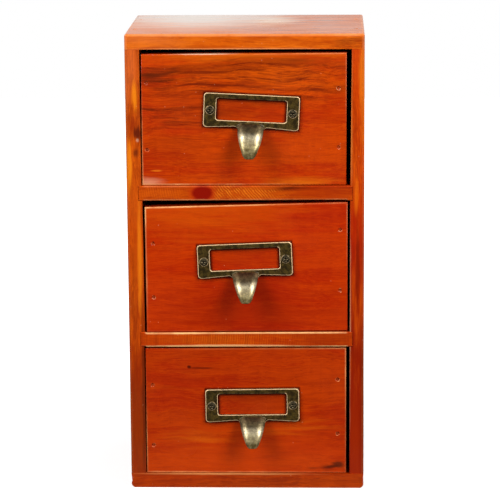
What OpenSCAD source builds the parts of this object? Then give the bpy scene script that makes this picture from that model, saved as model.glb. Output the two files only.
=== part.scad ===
// Desktop cabinet of three small drawers: a bradded softwood carcass with housed dividers,
// three bradded drawer boxes that slide on the boards below them, and a cast brass label pull
// on each front. Millimetres; +X to the right, +Y to the back, +Z up. The origin is the centre
// of the cabinet's footprint.

/* [Cabinet] */
// Width of the cabinet
cabinet_w = 150; // [130:1:190]
// Depth of the cabinet, from its front edges to its back edges
cabinet_d = 106; // [90:1:160]
// Clear heights of the drawer openings: top, middle, bottom
opening_hs = [86.4, 85.2, 84.5]; // [82:0.1:110]
// Thickness of the cabinet's boards
board_t = 9.6; // [7.5:0.1:13]
// How far the dividers are housed into the side boards
housing = 2.4; // [1:0.1:4]
// Rounding of the boards' exposed long edges
edge_r = 1.2; // [0.5:0.1:2]
// Rounding of the two lowest corners, seen from the front
foot_r = 3; // [1.5:0.1:5]

/* [Back panel] */
// Thickness of the plywood back
back_t = 3; // [2:0.1:5]
// How far the back is let in over the boards round it
rebate_w = 4.5; // [3:0.1:6]
// Clearance round the edges of the back
back_fit = 0.2; // [0.1:0.05:0.5]

/* [Drawer boxes] */
// Thickness of the drawer fronts
front_t = 9; // [8:0.1:14]
// Thickness of the drawers' sides and backs
side_t = 8; // [6.5:0.1:10]
// Height of the drawers' sides
side_h = 76; // [70:0.5:78]
// How much lower the drawers' backs are than their sides
back_drop = 2; // [0:0.5:10]
// Gap between a drawer box and the side boards, when it is centred
box_gap = 2.2; // [1.8:0.1:3]
// Running gap under the drawers
slide_gap = 0.2; // [0.1:0.05:0.5]
// How far the fronts sit back from the cabinet's front edges
front_recess = 1; // [0:0.1:3]
// Gap between the drawers and the back panel
rear_gap = 2; // [1:0.1:5]
// Rounding of the sides' upper edges and bevel round each front
ease = 0.9; // [0.3:0.1:1.5]

/* [Drawer bottoms] */
// Thickness of the plywood bottoms
bottom_t = 3; // [2:0.1:4]
// Depth of the grooves that hold the bottoms
groove_d = 3; // [2:0.1:4]
// Height of the grooves above the drawers' feet
groove_z = 5; // [3:0.1:10]
// Clearance of the bottoms in their grooves, on each face and edge
groove_fit = 0.05; // [0.02:0.01:0.2]

/* [Hand-cut fronts] */
// Top front: gap to the side boards at left foot, left head, right foot, right head
top_side_gaps = [0.6, 0.9, 2.1, 2.2]; // [0.3:0.1:2.2]
// Middle front: gap to the side boards at left foot, left head, right foot, right head
middle_side_gaps = [2.0, 1.7, 1.5, 1.6]; // [0.3:0.1:2.2]
// Bottom front: gap to the side boards at left foot, left head, right foot, right head
bottom_side_gaps = [0.6, 1.0, 2.0, 2.0]; // [0.3:0.1:2.2]
// Top front: gap to the board above at left, right
top_head_gaps = [2.6, 2.1]; // [0.4:0.1:5]
// Middle front: gap to the board above at left, right
middle_head_gaps = [4.1, 1.2]; // [0.4:0.1:5]
// Bottom front: gap to the board above at left, right
bottom_head_gaps = [1.1, 0.8]; // [0.4:0.1:5]

/* [Brads] */
// Length of the brads
brad_l = 22; // [18:0.5:25]
// Radius of a brad's shank
brad_r = 0.6; // [0.4:0.05:0.8]
// Radius of a brad's head
brad_head_r = 0.95; // [0.9:0.05:1.2]
// Thickness of a brad's head
brad_head_t = 0.5; // [0.3:0.1:0.8]
// How far the heads are set below the wood
brad_set = 0.4; // [0.1:0.1:1]
// Length of the pins that hold the back
pin_l = 12; // [8:0.5:16]
// Radial clearance of brads, pins and screws in the wood
driven_fit = 0.05; // [0.02:0.01:0.1]
// Top front: brad heights at left low, left high, right low, right high
top_brad_heights = [22.8, 65.2, 24.4, 61.8]; // [14:0.2:70]
// Middle front: brad heights at left low, left high, right low, right high
middle_brad_heights = [22.4, 57.4, 27.0, 66.4]; // [14:0.2:70]
// Bottom front: brad heights at left low, left high, right low, right high
bottom_brad_heights = [18.6, 58.6, 26.6, 62.6]; // [14:0.2:70]
// Brads' distance in from the left face of each drawer box: top, middle, bottom
brad_in_left = [2.2, 4.2, 3.4]; // [2:0.1:5.5]
// Brads' distance in from the right face of each drawer box: top, middle, bottom
brad_in_right = [3.7, 3.6, 4.3]; // [2:0.1:5.5]

/* [Label pulls] */
// Width of a pull's plate
plate_w = 60.2; // [50:0.1:70]
// Height of a pull's plate
plate_h = 21.6; // [18:0.1:26]
// Thickness of the plate
plate_t = 2; // [1.5:0.1:3]
// Rounding of the plate's corners
plate_r = 2; // [0.5:0.1:3]
// Width of the plate's ends, beside the label window
end_w = 7.9; // [7.4:0.1:10]
// Width of the plate's bar above the window
top_bar_w = 2.95; // [2.5:0.05:4]
// Width of the plate's bar below the window
low_bar_w = 4.65; // [4:0.05:6]
// Rounding of the window's corners
window_r = 1.6; // [0.5:0.1:2]
// Distance of each screw from its end of the plate
screw_in = 4.1; // [3.8:0.1:4.3]
// How much the plate's lower edge rises from its corners towards the tongue
waist_rise = 1.1; // [0.2:0.1:2]
// Rounding between the plate's lower edge and the tongue
waist_r = 2.6; // [1:0.1:4]
// Height of each pull's middle above its opening's floor: top, middle, bottom
pull_heights = [47.2, 46.9, 45.7]; // [36:0.1:60]
// Sideways place of each pull: top, middle, bottom
pull_shifts = [4.2, -0.6, 3.6]; // [-20:0.1:20]
// Tilt of each pull in degrees, right end up: top, middle, bottom
pull_tilts = [-2.8, 2.3, 0.8]; // [-5:0.1:5]

/* [Finger tongue] */
// Width of the tongue at its root
root_w = 17; // [14:0.1:20]
// Width that the tongue tapers to at its tip
tip_w = 6.3; // [5:0.1:10]
// How long each tongue stays wide before it tapers: top, middle, bottom
tongue_tapers = [2.5, 1.6, 1.8]; // [1.2:0.1:3]
// How far each tongue stands out from its plate: top, middle, bottom
tongue_outs = [12.5, 13.5, 13]; // [9:0.1:18]
// How far each tip hangs below its plate: top, middle, bottom
tongue_drops = [17.4, 14.4, 14.4]; // [10:0.1:20]
// Thickness of the tongue
tongue_t = 1.8; // [1.2:0.1:2.5]
// How far a full-width part of the tongue's crown stands above its edges
tongue_crown = 3.2; // [2:0.1:4]

/* [Screws] */
// Length of the pulls' screws, head included
screw_l = 8.6; // [7:0.1:9]
// Radius of the screw heads
screw_head_r = 2.6; // [2.2:0.1:2.8]
// Height of the countersunk part of the heads
screw_head_h = 1.5; // [1:0.1:1.9]
// Radius over the thread
thread_r = 1.25; // [1:0.05:1.5]
// Radius under the thread
core_r = 0.85; // [0.6:0.05:1]
// Distance from one thread crest to the next
thread_pitch = 0.9; // [0.6:0.1:1.2]

/* [Hidden] */
$fn = 48;
DRAWERS = ["top", "middle", "bottom"];
DRAWER_PARTS = ["drawer_front", "drawer_left_side", "drawer_right_side", "drawer_back",
    "drawer_bottom", "drawer_brads", "pull", "pull_screws"];

drawers = len(DRAWERS);
function floor_z(i) = board_t + (i < drawers - 1 ? floor_z(i + 1) + opening_hs[i + 1] : 0);
cabinet_h = floor_z(0) + opening_hs[0] + board_t;
front_y = -cabinet_d / 2;
back_y = cabinet_d / 2;
inner_x = cabinet_w / 2 - board_t;
panel_y = back_y - back_t;
past = 1;                       // how far cutters run past a face

side_gaps = [top_side_gaps, middle_side_gaps, bottom_side_gaps];
head_gaps = [top_head_gaps, middle_head_gaps, bottom_head_gaps];
brad_heights = [top_brad_heights, middle_brad_heights, bottom_brad_heights];

drawer_y = front_y + front_recess;
drawer_l = panel_y - rear_gap - drawer_y;
box_w = 2 * (inner_x - box_gap);
box_y = drawer_y + front_t;

function foot_z(i) = floor_z(i) + slide_gap;
// Sideways place of a drawer box, which follows the middle of its front
function box_x(i) = (side_gaps[i][0] + side_gaps[i][1] - side_gaps[i][2] - side_gaps[i][3]) / 4;

// ---------- shared shapes ----------

// A rectangle from the origin whose corners are rounded, anticlockwise from the origin
module eased_rect(size, radii) {
    corners = [[0, 0], [size.x, 0], size, [0, size.y]];
    difference() {
        square(size);
        for (k = [0:3])
            if (radii[k] > 0)
                translate(corners[k]) rotate(90 * k) difference() {
                    translate([-past, -past]) square(radii[k] + past);
                    translate([radii[k], radii[k]]) circle(radii[k]);
                }
    }
}

// Stands an outline in X and Z up and gives it a length along +Y
module along_y(length) {
    translate([0, length, 0]) rotate([90, 0, 0]) linear_extrude(length) children();
}

// Turns an outline in Y and Z to give it a length along +X
module along_x(length) {
    rotate([90, 0, 90]) linear_extrude(length) children();
}

module at_each(points, turn) {
    for (p = points) translate(p) rotate(turn) children();
}

HEAD_UP = [0, 0, 0];
HEAD_DOWN = [180, 0, 0];
HEAD_LEFT = [0, -90, 0];
HEAD_RIGHT = [0, 90, 0];
HEAD_FRONT = [90, 0, 0];
HEAD_BACK = [-90, 0, 0];

// A brad with its head at the origin and its point along -Z
module brad(length, swell = 0) {
    point_l = 3 * brad_r;
    rotate_extrude() polygon([
        [0, swell], [brad_head_r + swell, swell],
        [brad_head_r + swell, -brad_head_t - swell], [brad_r + swell, -brad_head_t - swell],
        [brad_r + swell, -length + point_l], [0, -length - swell]]);
}

// The hole that a set brad leaves, with the dimple over its head
module brad_hole(length) {
    brad(length, driven_fit);
    cylinder(r = brad_head_r + driven_fit, h = brad_set + past);
}

// ---------- where the brads go ----------

side_mid_x = cabinet_w / 2 - board_t / 2;
brad_ys = [-cabinet_d / 4, cabinet_d / 4];
pin_x = inner_x + rebate_w / 2;
pin_z = board_t - rebate_w / 2;
top_brad_points = [for (x = [-side_mid_x, side_mid_x]) for (y = brad_ys)
    [x, y, cabinet_h - brad_set]];
bottom_brad_points = [for (x = [-side_mid_x, side_mid_x]) for (y = brad_ys) [x, y, brad_set]];
divider_zs = [for (i = [0:drawers - 2]) floor_z(i) - board_t / 2];
left_brad_points = [for (z = divider_zs) for (y = brad_ys) [-cabinet_w / 2 + brad_set, y, z]];
right_brad_points = [for (z = divider_zs) for (y = brad_ys) [cabinet_w / 2 - brad_set, y, z]];
pin_points = concat(
    [for (x = [-pin_x, pin_x]) for (k = [-1:1]) [x, back_y, cabinet_h * (1 / 2 + k / 3)]],
    [for (x = [-inner_x / 2, inner_x / 2]) for (z = [pin_z, cabinet_h - pin_z]) [x, back_y, z]]);

function front_brad_points(i) = [
    for (k = [0:3])
        [k < 2 ? box_x(i) - box_w / 2 + brad_in_left[i] : box_x(i) + box_w / 2 - brad_in_right[i],
         drawer_y + brad_set, floor_z(i) + brad_heights[i][k]]];
function back_brad_points(i, side) = [
    for (k = [1, 3])
        [box_x(i) + side * (box_w / 2 - brad_set), drawer_y + drawer_l - side_t / 2,
         foot_z(i) + (side_h - back_drop) * k / 4]];

// ---------- cabinet ----------

// The room that the back panel takes, cut from the boards round it
module back_rebate() {
    x = inner_x + rebate_w;
    translate([-x, panel_y, board_t - rebate_w])
        cube([2 * x, back_t + past, cabinet_h - 2 * (board_t - rebate_w)]);
}

module pin_holes() {
    at_each(pin_points, HEAD_BACK) brad(pin_l, driven_fit);
}

module top_board() {
    color("chocolate") difference() {
        translate([0, 0, cabinet_h - board_t]) intersection() {
            translate([-cabinet_w / 2, front_y, 0])
                along_x(cabinet_w) eased_rect([cabinet_d, board_t], [0, 0, edge_r, edge_r]);
            translate([-cabinet_w / 2, front_y, 0])
                along_y(cabinet_d) eased_rect([cabinet_w, board_t], [0, 0, edge_r, edge_r]);
        }
        back_rebate();
        at_each(top_brad_points, HEAD_UP) brad_hole(brad_l);
        pin_holes();
    }
}

module bottom_board() {
    color("chocolate") difference() {
        intersection() {
            translate([-cabinet_w / 2, front_y, 0])
                along_x(cabinet_w) eased_rect([cabinet_d, board_t], [edge_r, edge_r, 0, 0]);
            translate([-cabinet_w / 2, front_y, 0])
                along_y(cabinet_d) eased_rect([cabinet_w, board_t], [foot_r, foot_r, 0, 0]);
        }
        back_rebate();
        at_each(bottom_brad_points, HEAD_DOWN) brad_hole(brad_l);
        pin_holes();
    }
}

// A side board between the top and bottom boards; side is -1 for the left, 1 for the right
module side_board(side) {
    left_x = side < 0 ? -cabinet_w / 2 : inner_x;
    difference() {
        translate([left_x, front_y, board_t])
            linear_extrude(cabinet_h - 2 * board_t)
                eased_rect([board_t, cabinet_d], [edge_r, edge_r, edge_r, edge_r]);
        for (z = divider_zs) translate([-inner_x - housing, front_y - past, z - board_t / 2])
            cube([2 * (inner_x + housing), panel_y - front_y + past, board_t]);
        back_rebate();
        at_each(top_brad_points, HEAD_UP) brad_hole(brad_l);
        at_each(bottom_brad_points, HEAD_DOWN) brad_hole(brad_l);
        at_each(left_brad_points, HEAD_LEFT) brad_hole(brad_l);
        at_each(right_brad_points, HEAD_RIGHT) brad_hole(brad_l);
        pin_holes();
    }
}

module left_side() {
    color("peru") side_board(-1);
}

module right_side() {
    color("peru") side_board(1);
}

// The board under opening i, housed in both sides and stopped at the back panel
module divider(i) {
    length = 2 * (inner_x + housing);
    color("sandybrown") difference() {
        translate([-length / 2, front_y, floor_z(i) - board_t])
            along_x(length) eased_rect([panel_y - front_y, board_t], [edge_r, 0, 0, edge_r]);
        at_each(left_brad_points, HEAD_LEFT) brad_hole(brad_l);
        at_each(right_brad_points, HEAD_RIGHT) brad_hole(brad_l);
    }
}

module back_panel() {
    x = inner_x + rebate_w - back_fit;
    low_z = board_t - rebate_w + back_fit;
    color("tan") difference() {
        translate([-x, panel_y, low_z]) cube([2 * x, back_t, cabinet_h - 2 * low_z]);
        pin_holes();
    }
}

module brads(points, turn, length = brad_l) {
    color("silver") at_each(points, turn) brad(length);
}

// ---------- drawers ----------

// The front's four corners in X and Z, drawn in from its outline by inset
function front_corners(i, inset) = [
    [-inner_x + side_gaps[i][0] + inset, foot_z(i) + inset],
    [inner_x - side_gaps[i][2] - inset, foot_z(i) + inset],
    [inner_x - side_gaps[i][3] - inset, floor_z(i) + opening_hs[i] - head_gaps[i][1] - inset],
    [-inner_x + side_gaps[i][1] + inset, floor_z(i) + opening_hs[i] - head_gaps[i][0] - inset]];

// The room that a drawer's bottom takes in the boards round it, grown by fit
module bottom_blank(i, fit) {
    width = box_w - 2 * side_t + 2 * groove_d;
    length = drawer_l - front_t - side_t + 2 * groove_d;
    translate([box_x(i) - width / 2 - fit, box_y - groove_d - fit, foot_z(i) + groove_z - fit])
        cube([width + 2 * fit, length + 2 * fit, bottom_t + 2 * fit]);
}

module front_brad_holes(i) {
    at_each(front_brad_points(i), HEAD_FRONT) brad_hole(brad_l);
}

module back_brad_holes(i) {
    at_each(back_brad_points(i, -1), HEAD_LEFT) brad_hole(brad_l);
    at_each(back_brad_points(i, 1), HEAD_RIGHT) brad_hole(brad_l);
}

module drawer_front(i) {
    skin = 0.01;                // thickness of the bevelled face that the hull starts from
    color("orangered") difference() {
        hull() {
            translate([0, drawer_y + ease, 0])
                along_y(front_t - ease) polygon(front_corners(i, 0));
            translate([0, drawer_y, 0]) along_y(skin) polygon(front_corners(i, ease));
        }
        bottom_blank(i, groove_fit);
        front_brad_holes(i);
        on_front(i) at_screws() cylinder(r = thread_r + driven_fit, h = 2 * screw_l, center = true);
    }
}

// A drawer side; side is -1 for the left, 1 for the right
module drawer_side(i, side) {
    left_x = box_x(i) + (side < 0 ? -box_w / 2 : box_w / 2 - side_t);
    color("burlywood") difference() {
        translate([left_x, box_y, foot_z(i)])
            along_y(drawer_l - front_t) eased_rect([side_t, side_h], [0, 0, ease, ease]);
        bottom_blank(i, groove_fit);
        front_brad_holes(i);
        back_brad_holes(i);
    }
}

module drawer_back(i) {
    width = box_w - 2 * side_t;
    color("burlywood") difference() {
        translate([box_x(i) - width / 2, drawer_y + drawer_l - side_t, foot_z(i)])
            along_x(width) eased_rect([side_t, side_h - back_drop], [0, 0, ease, ease]);
        bottom_blank(i, groove_fit);
        back_brad_holes(i);
    }
}

module drawer_bottom(i) {
    color("wheat") bottom_blank(i, 0);
}

module drawer_brads(i) {
    brads(front_brad_points(i), HEAD_FRONT);
    brads(back_brad_points(i, -1), HEAD_LEFT);
    brads(back_brad_points(i, 1), HEAD_RIGHT);
}

// ---------- label pulls ----------

// Places a child drawn in X and Z, with -Y outwards, on the face of a drawer front
module on_front(i) {
    translate([pull_shifts[i], drawer_y, floor_z(i) + pull_heights[i]])
        rotate([0, -pull_tilts[i], 0]) children();
}

// Places a child at both screws, with its +Z outwards
module at_screws() {
    for (side = [-1, 1])
        translate([side * (plate_w / 2 - screw_in), 0, 0]) rotate(HEAD_FRONT) children();
}

bar_z = -plate_h / 2;
waist_z = bar_z + waist_rise;
window_w = plate_w - 2 * end_w;
window_h = plate_h - top_bar_w - low_bar_w;
window_low = bar_z + low_bar_w;
tab_in = 0.5;                   // how far the plate's tab stays inside the tongue's edges
root_drop = 0.3;                // how far below the window the tongue starts

// The plate with its window; its narrowed lower bar flares into a tab behind the tongue
module plate_outline() {
    corner_x = plate_w / 2 - 2 * plate_r;
    tab_x = root_w / 2 - tab_in;
    flare_x = tab_x + waist_r;
    difference() {
        translate([-plate_w / 2, bar_z])
            eased_rect([plate_w, plate_h], [plate_r, plate_r, plate_r, plate_r]);
        polygon([[-corner_x, bar_z], [-flare_x, waist_z], [flare_x, waist_z], [corner_x, bar_z],
            [corner_x, bar_z - past], [-corner_x, bar_z - past]]);
        translate([-window_w / 2, window_low])
            eased_rect([window_w, window_h], [window_r, window_r, window_r, window_r]);
    }
    difference() {
        translate([-flare_x, waist_z - waist_r]) square([2 * flare_x, waist_r + past]);
        for (side = [-1, 1]) translate([side * flare_x, waist_z - waist_r]) circle(waist_r);
    }
}

// The control points of tongue i's centreline, [outwards, up], from inside the plate to the tip
tongue_root = [plate_t / 2, window_low - root_drop];
function tongue_line(i) =
    let (tip = [plate_t + tongue_outs[i], bar_z - tongue_drops[i]])
    [tongue_root,
     tongue_root + [0.45 * tongue_outs[i], -0.2 * tongue_drops[i]],
     [tip.x, tongue_root.y - 0.59 * tongue_drops[i]],
     tip];
function bezier(p, s) =
    pow(1 - s, 3) * p[0] + 3 * pow(1 - s, 2) * s * p[1] + 3 * (1 - s) * s * s * p[2]
    + pow(s, 3) * p[3];
function slope(p, s) =
    pow(1 - s, 2) * (p[1] - p[0]) + 2 * (1 - s) * s * (p[2] - p[1]) + s * s * (p[3] - p[2]);

root_crown = 0.55;              // share of the crown that a tongue has where it starts
settled_by = 0.5;               // how far along a tongue its section has its full shape
round_from = 0.93;              // how far along a tongue the rounding of its tip starts

// Rises from 0 where a tongue starts to 1 where its section has its full shape
function settled(s) = sin(90 * min(1, s / settled_by));

// The way in which a tongue's edges and its back lie behind its face: straight down where it
// leaves the plate, then square to the face
function inward(p, s) = let (d = slope(p, s), way = [d.y * settled(s), -d.x]) way / norm(way);

// Half of a tongue's width; s runs from 0 to 1 at the tip
function tongue_half(s, taper) =
    let (t = max(0, (s - round_from) / (1 - round_from)))
    (root_w / 2 - (root_w - tip_w) / 2 * pow(s, taper)) * sqrt(1 - 0.4 * t * t);

// A point on a tongue, u from -1 to 1 across it and depth in from its face
function tongue_point(line, taper, s, u, depth) =
    let (half = tongue_half(s, taper),
         bend = tongue_crown * pow(2 * half / root_w, 0.6)
             * (root_crown + (1 - root_crown) * settled(s)),
         p = bezier(line, s) + inward(line, s) * (bend * pow(abs(u), 3) + depth))
    [half * u, -p.x, p.y];

tongue_rows = 18;               // steps along the tongue, closest at its tip
tongue_cols = 12;               // steps across it
function ring(line, taper, r) =
    let (s = 1 - pow(1 - r / tongue_rows, 1.6))
    [for (face = [0, 1]) for (k = [0:tongue_cols])
        tongue_point(line, taper, s, (face > 0 ? -1 : 1) * (2 * k / tongue_cols - 1),
            face * tongue_t)];

module tongue(i) {
    line = tongue_line(i);
    n = 2 * (tongue_cols + 1);
    last = tongue_rows * n;
    walls = [for (r = [0:tongue_rows - 1]) for (k = [0:n - 1])
        let (a = r * n + k, b = r * n + (k + 1) % n) each [[a, b, b + n], [a, b + n, a + n]]];
    root = [for (k = [0:tongue_cols - 1]) each [[k, n - 1 - k, n - 2 - k], [k, n - 2 - k, k + 1]]];
    tip = [for (f = root) [f[2] + last, f[1] + last, f[0] + last]];
    polyhedron([for (r = [0:tongue_rows]) each ring(line, tongue_tapers[i], r)],
        concat(walls, root, tip), convexity = 4);
}

module pull(i) {
    color("darkkhaki") on_front(i) difference() {
        union() {
            translate([0, -plate_t, 0]) along_y(plate_t) plate_outline();
            tongue(i);
        }
        at_screws() {
            cylinder(r = thread_r + driven_fit, h = 2 * plate_t + past, center = true);
            translate([0, 0, plate_t - screw_head_h]) cylinder(
                r1 = core_r + driven_fit, r2 = screw_head_r + driven_fit, h = screw_head_h);
            translate([0, 0, plate_t]) cylinder(r = screw_head_r + driven_fit, h = past);
        }
    }
}

// ---------- screws ----------

dome_h = 0.45;                  // rise of the oval head above its rim
cross_l = 3;                    // length, width and depth of the cross's slots
cross_w = 0.7;
cross_depth = 0.8;
tip_l = 2;                      // length of the point under the thread
threads = floor((screw_l - screw_head_h - tip_l) / thread_pitch);
thread_top = -screw_head_h;
thread_foot = thread_top - threads * thread_pitch;

// An oval-head wood screw, its rim at the origin and its point along -Z
module wood_screw() {
    dome = [for (a = [0:15:90]) [screw_head_r * sin(a), dome_h * cos(a)]];
    crests = [for (k = [0:threads - 1]) each [
        [thread_r, thread_top - (k + 0.5) * thread_pitch],
        [core_r, thread_top - (k + 1) * thread_pitch]]];
    difference() {
        rotate_extrude()
            polygon(concat(dome, [[core_r, thread_top]], crests, [[0, thread_foot - tip_l]]));
        for (turn = [0, 90]) rotate(turn)
            translate([-cross_l / 2, -cross_w / 2, -cross_depth])
                cube([cross_l, cross_w, cross_depth + past]);
    }
}

module pull_screws(i) {
    color("olive") on_front(i) at_screws() translate([0, 0, plate_t]) wood_screw();
}

// ---------- nodes ----------

top_board();
bottom_board();
left_side();
right_side();
divider(0);  // upper_divider
divider(1);  // lower_divider
back_panel();
brads(top_brad_points, HEAD_UP);  // top_board_brads
brads(bottom_brad_points, HEAD_DOWN);  // bottom_board_brads
brads(left_brad_points, HEAD_LEFT);  // left_side_brads
brads(right_brad_points, HEAD_RIGHT);  // right_side_brads
brads(pin_points, HEAD_BACK, pin_l);  // back_panel_pins
for (i = [0:drawers - 1]) {
    drawer_front(i);
    drawer_side(i, -1);
    drawer_side(i, 1);
    drawer_back(i);
    drawer_bottom(i);
    drawer_brads(i);
    pull(i);
    pull_screws(i);
}
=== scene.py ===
import math

import bmesh
import bpy
from mathutils import Matrix, Vector, noise


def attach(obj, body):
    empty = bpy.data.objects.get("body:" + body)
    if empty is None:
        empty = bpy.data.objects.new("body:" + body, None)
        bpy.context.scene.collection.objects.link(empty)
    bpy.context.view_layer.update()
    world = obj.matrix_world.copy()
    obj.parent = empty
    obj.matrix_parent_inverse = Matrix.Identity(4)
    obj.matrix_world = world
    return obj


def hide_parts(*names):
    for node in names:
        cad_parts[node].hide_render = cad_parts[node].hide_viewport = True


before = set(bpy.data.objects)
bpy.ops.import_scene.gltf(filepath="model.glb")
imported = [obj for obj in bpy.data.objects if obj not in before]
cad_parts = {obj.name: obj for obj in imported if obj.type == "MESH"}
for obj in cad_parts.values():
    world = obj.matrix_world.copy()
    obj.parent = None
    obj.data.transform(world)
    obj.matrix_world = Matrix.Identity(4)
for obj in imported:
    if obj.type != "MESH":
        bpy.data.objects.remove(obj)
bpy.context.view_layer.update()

# ---------- Top and bottom boards ----------
# Two softwood boards that run the cabinet's full width, over and under its sides.
# Sawn and sanded pine, stained orange and lacquered, glued and bradded down into the
# sides' ends, with a rebate along the back for the panel.

mm = 0.001
half_w, cabinet_h = 75, 294.5
board_t = 9.6
front_y, back_y, panel_y = -53, 53, 50
rebate_x, rebate_z = 69.9, 5.1      # from the middle, and in from the outer face
arris_r = 1.2                       # rounding of the cabinet's outer edges


def put(tree, kind, inputs=None, **settings):
    """Adds a shader node; inputs are values, or the sockets that feed them."""
    made = tree.nodes.new("ShaderNode" + kind)
    for name, value in settings.items():
        setattr(made, name, value)
    for name, value in (inputs or {}).items():
        if isinstance(value, bpy.types.NodeSocket):
            tree.links.new(value, made.inputs[name])
        else:
            made.inputs[name].default_value = value
    return made


def reckon(tree, operation, a, b=0.0, c=0.0, clamp=False):
    """A Math node on up to three numbers or sockets."""
    return put(tree, "Math", {0: a, 1: b, 2: c}, operation=operation,
               use_clamp=clamp).outputs[0]


def vector(tree, operation, a, b=(0, 0, 0), c=(0, 0, 0)):
    """A Vector Math node on up to three vectors or sockets."""
    made = put(tree, "VectorMath", {0: a, 1: b, 2: c}, operation=operation)
    return made.outputs[1 if operation == "LENGTH" else 0]


def ramp_up(tree, value, low, high):
    """0 below low, 1 above high, and a smooth step between them."""
    return put(tree, "MapRange", {"Value": value, "From Min": low, "From Max": high},
               interpolation_type="SMOOTHSTEP").outputs[0]


def mix(tree, share, a, b, way="MIX"):
    """Colour a, with share of colour b laid over it."""
    return put(tree, "Mix", {0: share, 6: a, 7: b}, data_type="RGBA", blend_type=way,
               clamp_factor=True).outputs[2]


def cloud(tree, place, scale, detail=2.0, roughness=0.5, stretch=(1, 1, 1)):
    """Noise of the given size, squeezed along the axes by stretch: its outputs."""
    placed = put(tree, "Mapping", {"Vector": place, "Scale": stretch}).outputs[0]
    return put(tree, "TexNoise", {"Vector": placed, "Scale": scale, "Detail": detail,
                                  "Roughness": roughness}).outputs


def group(name, inputs, outputs):
    """An empty node group with named sockets: (name, kind, value) in, (name, kind) out."""
    made = bpy.data.node_groups.new(name, "ShaderNodeTree")
    for label, kind, value in inputs:
        made.interface.new_socket(
            label, in_out="INPUT", socket_type="NodeSocket" + kind).default_value = value
    for label, kind in outputs:
        made.interface.new_socket(label, in_out="OUTPUT", socket_type="NodeSocket" + kind)
    return made, made.nodes.new("NodeGroupInput").outputs, \
        made.nodes.new("NodeGroupOutput").inputs


def use(tree, made, inputs):
    """Places a node group, and gives its outputs."""
    return put(tree, "Group", inputs, node_tree=made).outputs


def bare(name):
    """A new material, its tree, its shader, and the piece's own coordinates."""
    made = bpy.data.materials.new(name)
    made.use_nodes = True
    tree = made.node_tree
    return made, tree, tree.nodes["Principled BSDF"], put(tree, "TexCoord").outputs["Object"]


def roughen(tree, value, low, high, start=0, end=1):
    """Sets the roughness: low where value is at its start, and high at its end."""
    spread = put(tree, "MapRange", {"Value": value, "From Min": start, "From Max": end,
                                    "To Min": low, "To Max": high})
    tree.links.new(spread.outputs[0], tree.nodes["Principled BSDF"].inputs["Roughness"])


# Flat-sawn pine with its grain along X: growth rings round a wandering heart, drawn-out
# streaks where the stain took unevenly, fine fibres, short dark pores and planer marks.
pine_figure, given, gives = group(
    "pine figure",
    [("Vector", "Vector", (0, 0, 0)), ("Ring Spacing", "Float", 0.004),
     ("Rings", "Float", 0.5), ("Streaks", "Float", 0.5), ("Blotches", "Float", 0.5),
     ("Planer Marks", "Float", 0.1), ("Pale", "Color", (0.8, 0.2, 0.02, 1)),
     ("Middle", "Color", (0.5, 0.06, 0.003, 1)), ("Dark", "Color", (0.2, 0.02, 0.001, 1))],
    [("Color", "Color"), ("Streak Mask", "Float"), ("Height", "Float")])
t = pine_figure
wander = cloud(t, given["Vector"], 14, 2, 0.5, (0.6, 1.6, 1.6))["Color"]
wander = vector(t, "MULTIPLY", vector(t, "ADD", wander, (-0.5, -0.5, -0.5)), (0, 0.012, 0.012))
ripple = cloud(t, given["Vector"], 55, 1, 0.5, (0.7, 0.5, 0.5))["Color"]
ripple = vector(t, "MULTIPLY_ADD", vector(t, "ADD", ripple, (-0.5, -0.5, -0.5)),
                (0, 0.004, 0.004), wander)
grain = vector(t, "ADD", given["Vector"], ripple)
axes = put(t, "SeparateXYZ", {0: grain}).outputs
heart = reckon(t, "SQRT", reckon(t, "MULTIPLY_ADD", axes[1], axes[1],
                                 reckon(t, "MULTIPLY", axes[2], axes[2])))
uneven = cloud(t, grain, 40, 2, 0.5, (0.1, 1, 1))[0]
turns = reckon(t, "MULTIPLY_ADD", uneven, 1.6, reckon(t, "DIVIDE", heart, given["Ring Spacing"]))
turns = reckon(t, "FRACT", turns)
late = reckon(t, "MULTIPLY", ramp_up(t, turns, 0.3, 0.85), ramp_up(t, turns, 1.0, 0.9))
fibre = cloud(t, grain, 70, 3, 0.65, (1, 26, 26))[0]
ragged = reckon(t, "MULTIPLY_ADD", fibre, 0.35, -0.175)
streak = reckon(t, "ADD", cloud(t, grain, 10, 4, 0.6, (1, 22, 22))[0], ragged)
streak = ramp_up(t, streak, 0.48, 0.66)
dense = reckon(t, "ADD", cloud(t, grain, 11, 5, 0.7, (0.8, 15, 15))[0], ragged)
dense = ramp_up(t, dense, 0.38, 0.62)
bands = reckon(t, "MULTIPLY", dense, reckon(t, "MULTIPLY_ADD", late, 0.3, 0.65), clamp=True)
late = reckon(t, "MULTIPLY", late, given["Rings"])
blotch = reckon(t, "ADD", cloud(t, grain, 16, 3, 0.6, (0.6, 4, 4))[0], ragged)
paler = reckon(t, "MULTIPLY", ramp_up(t, blotch, 0.6, 0.42), given["Blotches"])
colour = mix(t, paler, given["Middle"], given["Pale"])
fine = ramp_up(t, fibre, 0.36, 0.64)
colour = mix(t, reckon(t, "MULTIPLY_ADD", fine, -0.22, 0.22), colour, given["Pale"])
cloudy = ramp_up(t, cloud(t, grain, 190, 3, 0.65, (0.6, 1, 1))[0], 0.35, 0.7)
colour = mix(t, reckon(t, "MULTIPLY", cloudy, 0.22), colour, given["Pale"])
dark_share = reckon(t, "MAXIMUM", reckon(t, "MULTIPLY", streak, given["Streaks"]), late)
dark_share = reckon(t, "MULTIPLY_ADD", fine, 0.17, dark_share, clamp=True)
dark_share = reckon(t, "MULTIPLY_ADD", cloudy, -0.12, reckon(t, "ADD", dark_share, 0.08),
                    clamp=True)
knife = cloud(t, given["Vector"], 260, 2, 0.7, (1, 0.05, 0.05))[0]
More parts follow.
